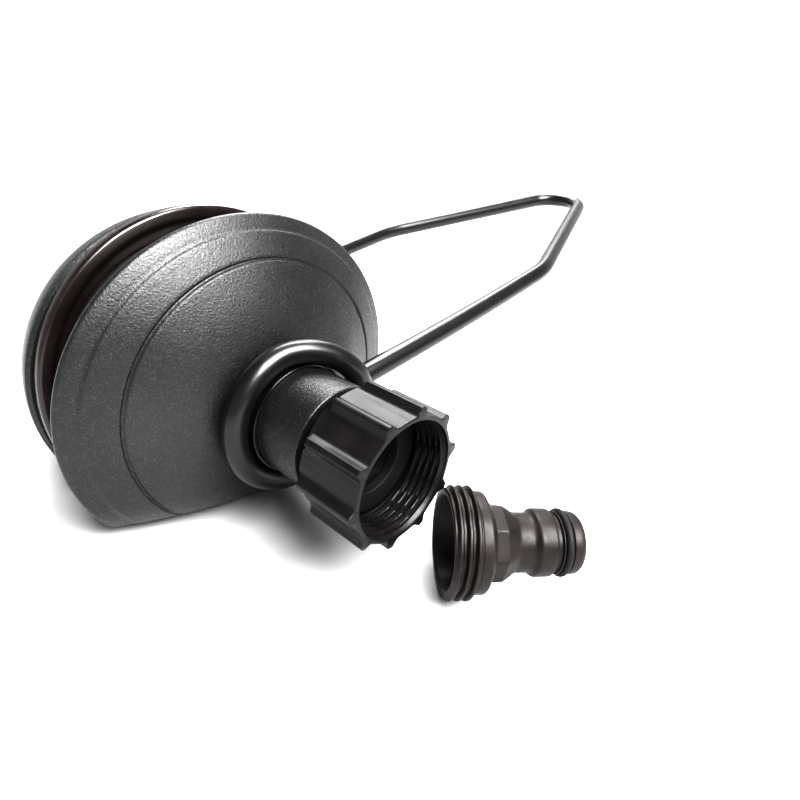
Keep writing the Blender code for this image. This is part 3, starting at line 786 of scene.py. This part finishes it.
def foot_outline(grow):
    """The outline of the foot as (x, y) points."""
    points = []
    for angle in np.linspace(0.0, math.tau, 120, endpoint=False):
        across, along = math.cos(angle), math.sin(angle)
        x = (FOOT_REACH_X + grow) * math.copysign(abs(across) ** (2.0 / FOOT_SQUARENESS), across)
        y = (FOOT_REACH_Y + grow) * math.copysign(abs(along) ** (2.0 / FOOT_SQUARENESS), along)
        points.append((x, y))
    return points


def slab(outline, z_low, z_high, edge):
    """A flat plate on an (x, y) outline, its edges slightly bevelled."""
    bm = bmesh.new()
    face = bm.faces.new([bm.verts.new((x, y, z_low)) for x, y in outline])
    raised = bmesh.ops.extrude_face_region(bm, geom=[face])["geom"]
    top = [item for item in raised if isinstance(item, bmesh.types.BMVert)]
    bmesh.ops.translate(bm, verts=top, vec=(0.0, 0.0, z_high - z_low))
    rims = [e for e in bm.edges if abs(e.verts[0].co.z - e.verts[1].co.z) < 1e-9]
    bmesh.ops.bevel(bm, geom=rims, offset=edge, segments=2, affect="EDGES")
    bmesh.ops.recalc_face_normals(bm, faces=bm.faces)
    return bm


def screw_centres():
    """Each base screw's number, centre, and lowest and highest z."""
    for number in range(1, 5):
        low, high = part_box(f"base_screw_{number}")
        yield number, (low.x + high.x) / 2.0, (low.y + high.y) / 2.0, low.z, high.z


def build_foot():
    """The steel foot plate, the rubber pad under it with its treads, and the four screws."""
    plate = slab(foot_outline(PLATE_GROWTH), PLATE_LOW.z, PLATE_HIGH.z, FOOT_EDGE)
    plate = add_piece("foot_plate", plate, PLATE_PAINT, "valve", ("base_plate",))
    pad = slab(foot_outline(0.0), PAD_LOW.z, PAD_HIGH.z, FOOT_EDGE)
    pad = add_piece("foot_pad", pad, RUBBER, "valve", ("base_pad",))
    screws = list(screw_centres())
    carve(plate, [cutter_rod((x, y, 0.0), (x, y, 0.006), PLATE_HOLE_RADIUS) for _, x, y, _, _ in screws])
    wells = [cutter_rod((x, y, -0.002), (x, y, 0.003), PAD_WELL_RADIUS, 32) for _, x, y, _, _ in screws]
    treads = []
    for k in (-3, -1, 0, 1, 3):
        y = k * TREAD_PITCH
        low = (-TREAD_HALF_LENGTH, y - TREAD_HALF_WIDTH, -0.001)
        high = (TREAD_HALF_LENGTH, y + TREAD_HALF_WIDTH, 0.0004)
        treads.append(cutter_box(low, high))
    carve(pad, wells + treads)
    for number, x, y, low, high in screws:
        build_screw(number, x, y, low, high)


def build_screw(number, x, y, low, high):
    """A countersunk screw, head down, with a cross slot."""
    neck = low + SCREW_HEAD_DEPTH
    corners = [
        (low, 0.0, 0.0),
        (low, 0.0027, 0.0002),
        (neck, SCREW_HEAD_RADIUS, 0.0002),
        (neck, SCREW_SHANK_RADIUS, 0.0),
        (high - SCREW_TIP_LENGTH, SCREW_SHANK_RADIUS, 0.0),
        (high, 0.0007, 0.0),
        (high, 0.0, 0.0),
    ]
    seat = Matrix.Translation((x, y, 0.0)) @ Matrix.Rotation(math.radians(90.0), 4, "X")
    outline = rounded(corners, 3, closed=False)
    node = (f"base_screw_{number}",)
    screw = turned(f"foot_screw_{number}", outline, STEEL, "valve", node, 32, seat=seat)
    slots = []
    for long, short in (SCREW_SLOT, SCREW_SLOT[::-1]):
        top = low + SCREW_SLOT_DEPTH
        slots.append(cutter_box((x - long, y - short, low - 0.001), (x + long, y + short, top)))
    carve(screw, slots)


# ---------------------------------------------------------------- inlet


def rib_shape(angle):
    """The nut's radius at this angle: ribs with hollow flared flanks on nearly flat panels."""
    pitch = math.tau / NUT_RIBS
    off = (angle + pitch / 2.0) % pitch - pitch / 2.0
    across = abs(off * NUT_BODY_RADIUS)
    flat = NUT_BODY_RADIUS * math.cos(pitch / 2.0) / math.cos(pitch / 2.0 - abs(off))
    body = flat * 0.65 + NUT_BODY_RADIUS * 0.35
    top = NUT_RIB_RADIUS - body
    if across <= RIB_CROWN:
        round_off = math.sqrt(max(0.0, 1.0 - (across / RIB_CROWN) ** 2))
        return body + top * (RIB_SHOULDER + (1.0 - RIB_SHOULDER) * round_off)
    if across <= RIB_FLARE:
        t = (RIB_FLARE - across) / (RIB_FLARE - RIB_CROWN)
        return body + top * RIB_SHOULDER * t**2.2
    return body


def nut_angles():
    """Angles for the nut's sections: dense on each rib's flanks."""
    pitch = math.tau / NUT_RIBS
    marks = (0.0, 0.25, 0.45, 0.60, 0.70, 0.75, 0.80, 0.92, 1.05, 1.2, 1.4, 1.65, 1.95, 2.35, 3.0, 4.0)
    offsets = sorted({s * m * MM / NUT_BODY_RADIUS for m in marks for s in (-1, 1)})
    return [pitch * rib + off for rib in range(NUT_RIBS) for off in offsets]


def build_nut():
    """The swivel nut: ribbed outside, threaded inside, with a shoulder at its rear."""
    mouth, rear = NUT_LOW.y, NUT_HIGH.y
    thread_end = mouth + NUT_THREAD_LENGTH
    rib_end = mouth + NUT_RIB_LENGTH
    skin = NUT_BODY_RADIUS + NUT_SKIN
    outline = [(mouth, NUT_ROOT + 0.0001), (mouth, NUT_BODY_RADIUS), (mouth + 0.00015, skin)]
    outline += [(mouth + along, skin) for along in np.linspace(0.0006, 0.0150, 8)]
    outline += [(mouth + 0.0155 + 0.0003 * k, skin) for k in range(4)]
    outline += [(rear - 0.0004, NUT_BODY_RADIUS - 0.0003), (rear, NUT_BODY_RADIUS - 0.0008)]
    outline += [(rear, NUT_HOLE), (NUT_SHOULDER_Y, NUT_HOLE), (NUT_SHOULDER_Y, NUT_ROOT)]
    outline += list(reversed(run(mouth + 0.0004, thread_end, NUT_ROOT, PITCH / 10.0)))
    threads = thread_shape(mouth + 0.0004, thread_end, NUT_ROOT, NUT_CREST, inner=True)

    def shape(y, r, angle):
        if r > NUT_BODY_RADIUS and y <= rib_end + 0.0003:
            full = rib_shape(angle)
            body = min(full, NUT_BODY_RADIUS)
            fade = min(1.0, max(0.0, (rib_end - y) / 0.0008))
            return y, body + (full - body) * math.sqrt(fade)
        if abs(r - NUT_BODY_RADIUS) < 1e-7 and y < mouth + 1e-6:
            return y, rib_shape(angle) - 0.00025
        return threads(y, r, angle)

    bm = turned_mesh(outline, nut_angles(), shape)
    turn = Matrix.Rotation(-NUT_TURN, 4, "Y")
    bm.transform(Matrix.Translation((0.0, 0.0, AXIS_Z)) @ turn)
    add_piece("hose_nut", bm, NUT_PLASTIC, "inlet_nut", ("swivel_nut",), smooth_angle=42.0)


def build_washer():
    """The hose washer, with a fine sealing groove in its face."""
    low, high, edge = WASHER_LOW.y, WASHER_HIGH.y, WASHER_HIGH.x
    inner = 0.0078
    corners = [(low, inner, 0.0004), (low, edge, 0.0005), (high, edge, 0.0005), (high, inner, 0.0004)]
    outline = rounded(corners, 4)

    def shape(y, r, angle):
        groove = 0.00016 if abs(r - 0.0103) < 0.0004 and y < low + 0.0001 else 0.0
        return y + groove, r

    turned("washer_ring", outline, RUBBER, "valve", ("hose_washer",), MEDIUM, shape)


def build_strainer():
    """A woven wire screen with a rolled rim, set in the tailpiece's mouth."""
    low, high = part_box("inlet_strainer")
    radius = high.x
    middle_y = (low.y + high.y) / 2.0
    wire, gap, rim = 0.00011, 0.00075, 0.0004
    bm = bmesh.new()
    count = int((radius - rim) / gap)
    for turn in (0, 1):
        for k in range(-count, count + 1):
            offset = k * gap
            reach = math.sqrt(max(0.0, (radius - 0.0003) ** 2 - offset * offset))
            steps = max(4, int(2 * reach / gap) * 2)
            points = []
            for i in range(steps + 1):
                along = -reach + 2 * reach * i / steps
                weave = wire * math.cos(math.pi * (along / gap)) * (1 if (k + turn) % 2 else -1)
                dome = -0.0010 * (1.0 - (along * along + offset * offset) / radius**2)
                x, z = (along, offset) if turn else (offset, along)
                points.append((x, middle_y + dome + weave, AXIS_Z + z))
            sweep(bm, points, wire, 5, taper_ends=False)
    add_piece("strainer_weave", bm, STEEL, "valve", ("inlet_strainer",))
    turned("strainer_rim", circle(middle_y, radius - rim, rim, 12), STEEL, "valve", (), COARSE)


def build_neck_rings():
    """The stepped snap ring at the neck's end, and the bush that the eyelet turns on; the bush is a real
    part, kept black as painted shade for the gap round the neck.
    """
    low, high = RING_LOW.y, RING_HIGH.y + NECK_GAP - 0.0001
    middle = (low + high) / 2.0
    edge, bore = RING_HIGH.x, 0.0113
    step = edge - 0.0007
    corners = [
        (low, bore, 0.0),
        (low, edge, 0.0003),
        (middle - 0.0003, edge, 0.0002),
        (middle - 0.0002, step, 0.0001),
        (high, step, 0.0002),
        (high, bore, 0.0),
    ]
    turned("snap_ring", rounded(corners, 4), RING_GLOSS, "valve", ("retaining_ring",))
    # the bush is gloss black as painted shade: its dark colour stands for the shadowed gap between the
    # eyelet and the neck
    low, high, edge = BUSH_LOW.y, BUSH_HIGH.y, BUSH_HIGH.x
    bore = NECK_RADIUS + 0.0002
    corners = [(low, bore, 0.0), (low, edge, 0.0003), (high, edge, 0.0003), (high, bore, 0.0)]
    turned("neck_bush_painted_shade", rounded(corners, 4), RING_GLOSS, "valve", ("pivot_bush",))


# ---------------------------------------------------------------- treadle


def on_treadle(along, across, up):
    """A point given along, across and above the raised treadle."""
    x = along * math.cos(TREADLE_RISE) - up * math.sin(TREADLE_RISE)
    z = along * math.sin(TREADLE_RISE) + up * math.cos(TREADLE_RISE)
    return (x, across, AXIS_Z + z)


def smooth(value):
    """Ease from 0 to 1, held at both ends."""
    value = min(1.0, max(0.0, value))
    return value * value * (3.0 - 2.0 * value)


def half_treadle():
    """The front half of the wire's middle line, from the eyelet's free end to the hoop's nose."""
    points = []
    reach = EYE_RADIUS + EYE_BEND_RADIUS
    bend_along = math.sqrt(reach**2 - EYE_BEND_RADIUS**2)
    leave = math.degrees(math.atan2(EYE_BEND_RADIUS, bend_along))
    first, last = -6.0, 360.0 - leave
    steps = 120
    for i in range(steps + 1):
        angle = first + (last - first) * i / steps
        shift = EYE_OVERLAP_SHIFT * (1.0 - smooth((angle - 20.0) / 80.0))
        a = math.radians(angle)
        points.append(on_treadle(EYE_RADIUS * math.cos(a), -EYE_Y - shift, EYE_RADIUS * math.sin(a)))
    for i in range(1, 17):
        a = math.radians(180.0 - leave + (leave - 90.0) * i / 16)
        along = bend_along + EYE_BEND_RADIUS * math.cos(a)
        up = -EYE_BEND_RADIUS + EYE_BEND_RADIUS * math.sin(a)
        points.append(on_treadle(along, -EYE_Y, up))
    knee_start = HOOP_KNEE - HOOP_KNEE_RADIUS * math.tan(HOOP_TAPER / 2.0)
    for i in range(1, 12):
        sag = LEG_SAG * math.sin(math.pi * i / 12.0)
        points.append(on_treadle(bend_along + (knee_start - bend_along) * i / 12, -EYE_Y, -sag))
    for i in range(13):
        a = HOOP_TAPER * i / 12
        along = knee_start + HOOP_KNEE_RADIUS * math.sin(a)
        across = -EYE_Y + HOOP_KNEE_RADIUS * (1.0 - math.cos(a))
        points.append(on_treadle(along, across, 0.0))
    tip = HOOP_KNEE + EYE_Y / math.tan(HOOP_TAPER)
    nose_centre = tip - HOOP_NOSE_RADIUS / math.sin(HOOP_TAPER)
    for i in range(21):
        a = math.radians(-90.0) + HOOP_TAPER + (math.radians(90.0) - HOOP_TAPER) * i / 20
        along = nose_centre + HOOP_NOSE_RADIUS * math.cos(a)
        points.append(on_treadle(along, HOOP_NOSE_RADIUS * math.sin(a), 0.0))
    return points


def build_treadle():
    """The wire hoop with its two eyelets, and the collar and pin that it turns."""
    front = half_treadle()
    back = [(x, -y, z) for x, y, z in reversed(front[:-1])]
    bm = bmesh.new()
    sweep(bm, front + back, WIRE_RADIUS, WIRE_SIDES)
    add_piece("treadle_hoop", bm, ENAMEL, "treadle", ("treadle_wire",))
    low, high, edge = COLLAR_LOW.y, COLLAR_HIGH.y, COLLAR_HIGH.x
    corners = [
        (low, SLEEVE_FIT, 0.0003),
        (low, edge, 0.0005),
        (high, edge, 0.0005),
        (high, SLEEVE_FIT, 0.0003),
    ]
    outline = rounded(corners, 4)
    collar = turned("collar_ring", outline, LACQUER, "treadle", ("drive_collar",))
    pin_low, pin_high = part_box("drive_pin")
    pin_y, pin_z = (pin_low.y + pin_high.y) / 2.0, (pin_low.z + pin_high.z) / 2.0
    carve(collar, [cutter_rod((-0.02, pin_y, pin_z), (0.0, pin_y, pin_z), 0.0014)])
    pin = cutter_rod((pin_low.x, pin_y, pin_z), (pin_high.x, pin_y, pin_z), 0.0012)
    bmesh.ops.bevel(pin, geom=pin.edges, offset=0.0002, segments=2, affect="EDGES")
    add_piece("collar_pin", pin, STEEL, "treadle", ("drive_pin",))


# ---------------------------------------------------------------- outlet


def build_outlet():
    """The outlet coupling: a knurled grip, an outside hose thread, and a stepped bore."""
    low, high = OUTLET_LOW.y, OUTLET_HIGH.y
    grip = OUTLET_HIGH.x
    front = [(low, SLEEVE_FIT, 0.0003), (low, grip - 0.0008, 0.0), (low + 0.0008, grip, 0.0)]
    outline = rounded(front, 4, closed=False)
    outline += run(low + 0.0012, 0.0592, grip, 0.0012)
    outline += [(OUTLET_THREAD_Y, grip - 0.0008), (OUTLET_THREAD_Y, THREAD_ROOT)]
    thread_from, thread_to = 0.0628, high - 0.0008
    outline += run(0.0604, thread_to, THREAD_ROOT, PITCH / 12.0)
    step = 0.0585
    end = [(high, THREAD_ROOT - 0.0003, 0.0), (high, OUTLET_BORE, 0.0004), (step, OUTLET_BORE, 0.0)]
    outline += rounded(end, 4, closed=False)
    outline += [(step, SLEEVE_FIT), (0.0565, SLEEVE_FIT), (0.0565, CLIP_GROOVE), (0.0545, CLIP_GROOVE)]
    outline += [(0.0545, SLEEVE_FIT)]
    threads = thread_shape(thread_from, thread_to, THREAD_ROOT, THREAD_CREST)

    def shape(y, r, angle):
        if abs(r - grip) < 1e-7:
            knurl = 0.5 + 0.5 * math.cos(angle * KNURLS)
            return y, grip - KNURL_DEPTH * knurl**2
        return threads(y, r, angle)

    turned("outlet_body", outline, NUT_PLASTIC, "outlet", ("outlet_coupling",), FINE, shape)


# ---------------------------------------------------------------- adapter


def adapter_seat():
    """The adapter's place: it lies on its thread crests, its nose a touch up."""
    height = ADAPTER_CREST * math.cos(ADAPTER_NOSE_UP) + SEAT_GAP
    seat = Matrix.Translation((*ADAPTER_MOUTH, height))
    heading = Matrix.Rotation(ADAPTER_YAW - math.radians(90.0), 4, "Z")
    return seat @ heading @ Matrix.Rotation(ADAPTER_NOSE_UP, 4, "X")


def build_adapter():
    """The loose adapter: thread, collar, octagon flats, waist, flange, seal groove and nose."""
    seat = adapter_seat()
    end = ADAPTER_LENGTH
    thread_end = 0.0062
    mouth = [
        (0.0006, 0.0106, 0.0),
        (0.0, 0.0110, 0.0002),
        (0.0, 0.0117, 0.0002),
        (0.0002, ADAPTER_ROOT, 0.0),
    ]
    outline = rounded(mouth, 3, closed=False)
    outline += run(0.0004, thread_end, ADAPTER_ROOT, ADAPTER_PITCH / 14.0)
    corners = [
        (0.0063, ADAPTER_ROOT - 0.0003, 0.0),
        (0.0065, 0.0117, 0.0003),
        (0.0087, 0.0117, 0.0004),
        (0.0098, 0.0097, 0.0005),
        (0.0103, 0.0092, 0.0004),
        (0.0112, 0.0092, 0.0),
        (0.0121, 0.0092, 0.0),
        (0.0130, 0.0091, 0.0004),
        (0.0138, 0.0086, 0.0),
        (0.0146, 0.0081, 0.0),
        (0.0154, 0.0075, 0.0),
        (0.0164, 0.0069, 0.0006),
        (0.0200, 0.0069, 0.0010),
        (0.0210, 0.0079, 0.0005),
        (0.0249, 0.0079, 0.0005),
        (0.0253, 0.0067, 0.0002),
        (0.0263, 0.0067, 0.0002),
        (0.0264, 0.0074, 0.0002),
        (0.0268, 0.0074, 0.0002),
        (0.0269, 0.0067, 0.0002),
        (0.0289, 0.0067, 0.0002),
        (0.0290, 0.0074, 0.0003),
        (end - 0.0010, 0.0073, 0.0008),
        (end, 0.0063, 0.0005),
        (end, 0.0047, 0.0004),
        (0.0140, ADAPTER_BORE, 0.0010),
        (0.0092, 0.0094, 0.0008),
    ]
    outline += rounded(corners, 5, closed=False)
    threads = thread_shape(
        -0.0010, thread_end, ADAPTER_ROOT, ADAPTER_CREST, run_out=0.30, pitch=ADAPTER_PITCH
    )

    def shape(y, r, angle):
        if FLATS_START < y < FLATS_END and r > ADAPTER_BORE + 0.001:
            eighth = math.tau / 8.0
            off = (angle - FLATS_TURN + eighth / 2.0) % eighth - eighth / 2.0
            past = max(0.0, (y - FLATS_TAPER) / (FLATS_END - FLATS_TAPER))
            return y, min(r, (FLATS_APOTHEM - FLATS_FALL * past) / math.cos(off))
        return threads(y, r, angle)

    node = ("adapter_body",)
    turned("adapter_shell", outline, ADAPTER_PLASTIC, "adapter", node, FINE, shape, seat)
    ring = circle(SEAL_Y, SEAL_RADIUS, SEAL_THICKNESS, 16)
    turned("adapter_ring", ring, RUBBER, "adapter", ("adapter_seal",), seat=seat)


# ---------------------------------------------------------------- hidden pieces that keep their solids


def coil(name, node, radius, wire, turns, y_low, y_high):
    """A round wire spring about the hose axis."""
    points = []
    count = int(turns * 28)
    for i in range(count + 1):
        angle = math.tau * turns * i / count
        y = y_low + (y_high - y_low) * i / count
        points.append((radius * math.cos(angle), y, AXIS_Z + radius * math.sin(angle)))
    bm = bmesh.new()
    sweep(bm, points, wire, 10)
    add_piece(name, bm, STEEL, "valve", (node,))


def dress_nodes():
    """Give every CAD node that stays on show a material that suits it."""
    looks = {
        BRASS: ("valve_barrel", "barrel_cover", "rotor_sleeve"),
        LACQUER: ("inlet_tail",),
        RUBBER: ("cover_seal", "port_gasket", "sleeve_seal", "neck_seal", "outlet_seal"),
        NYLON: ("port_plate", "rotor_disc", "rear_bearing", "check_poppet", "check_cage"),
        STEEL: ("outlet_clip",),
    }
    for look, names in looks.items():
        for name in names:
            mesh = NODES[name].data
            mesh.materials.clear()
            mesh.materials.append(look)


# ---------------------------------------------------------------- stage


def build_floor():
    """A pale floor that curves up into a backdrop all round."""
    flat, bend, top = 1.1, 0.4, 1.2
    outline = [(0.0, 0.0), (flat, 0.0)]
    for a in np.linspace(0.05, math.pi / 2, 16):
        outline.append((flat + bend * math.sin(a), bend - bend * math.cos(a)))
    outline += [(flat + bend, top)]
    bm = bmesh.new()
    rings = []
    for angle in even_angles(MEDIUM):
        across, along = math.cos(angle), math.sin(angle)
        rings.append([bm.verts.new((r * across, r * along, z - FLOOR_DROP)) for r, z in outline])
    for here, after in zip(rings, rings[1:] + rings[:1]):
        for i in range(len(outline) - 1):
            bm.faces.new((here[i], here[i + 1], after[i + 1], after[i]))
    bmesh.ops.remove_doubles(bm, verts=bm.verts, dist=1e-6)
    bmesh.ops.recalc_face_normals(bm, faces=bm.faces)
    bmesh.ops.reverse_faces(bm, faces=bm.faces)
    mesh = bpy.data.meshes.new("floor")
    bm.to_mesh(mesh)
    bm.free()
    mesh.shade_smooth()
    look = Look("pale_floor", (0.55, 0.55, 0.548), 0.8)
    look.roughness(look.span(look.noise(6.0, 3.0), 0.3, 0.7, 0.75, 0.9))
    mesh.materials.append(look.material)
    floor = bpy.data.objects.new("floor", mesh)
    bpy.context.scene.collection.objects.link(floor)


def build_lamps():
    """Soft lamps and an even white sky. Each lamp has a place, an aim, a size and a power."""
    lamps = (
        ("key", (-0.07, -0.54, 0.70), (0.0, -0.03, 0.05), 0.60, 36.0),
        ("back", (0.40, 0.36, 0.74), (0.0, -0.03, 0.05), 0.60, 13.0),
        ("wall_wash", (0.35, 0.30, 1.00), (1.20, 0.95, 0.10), 0.60, 26.0),
    )
    for name, place, aim, size, power in lamps:
        data = bpy.data.lights.new(name, "AREA")
        data.size = size
        data.energy = power
        lamp = bpy.data.objects.new(name, data)
        lamp.location = place
        lamp.rotation_euler = (Vector(aim) - Vector(place)).to_track_quat("-Z", "Y").to_euler()
        bpy.context.scene.collection.objects.link(lamp)

    world = bpy.data.worlds.new("studio")
    world.use_nodes = True
    sky = world.node_tree.nodes["Background"]
    sky.inputs["Color"].default_value = (1.0, 1.0, 1.0, 1.0)
    sky.inputs["Strength"].default_value = 0.28
    bpy.context.scene.world = world
    bpy.context.scene.view_settings.view_transform = "Standard"
    bpy.context.scene.view_settings.gamma = 0.64


def build_camera():
    """The camera stands close to the inlet, a little above it, and is rolled a few degrees."""
    place = Vector((-0.0792, -0.1348, AXIS_Z + 0.0623))
    forward = Vector((0.7134, 0.5689, -0.4092))
    roll = Matrix.Rotation(math.radians(7.88), 4, "Z")
    data = bpy.data.cameras.new("camera")
    data.sensor_width = 36.0
    data.lens = 24.75
    data.clip_start = 0.005
    camera = bpy.data.objects.new("camera", data)
    level = forward.to_track_quat("-Z", "Y").to_matrix().to_4x4()
    camera.matrix_world = Matrix.Translation(place) @ level @ roll
    bpy.context.scene.collection.objects.link(camera)
    bpy.context.scene.camera = camera


build_floor()
build_lamps()
build_camera()
build_housings()
build_disc()
build_ties()
build_foot()
build_nut()
build_washer()
build_strainer()
build_neck_rings()
build_treadle()
build_outlet()
build_adapter()
coil("twist_spring", "return_spring", radius=0.0135, wire=0.0009, turns=5.0, y_low=-0.0060, y_high=0.0140)
coil("poppet_spring", "check_spring", radius=0.0046, wire=0.0004, turns=5.0, y_low=-0.0454, y_high=-0.0356)
dress_nodes()
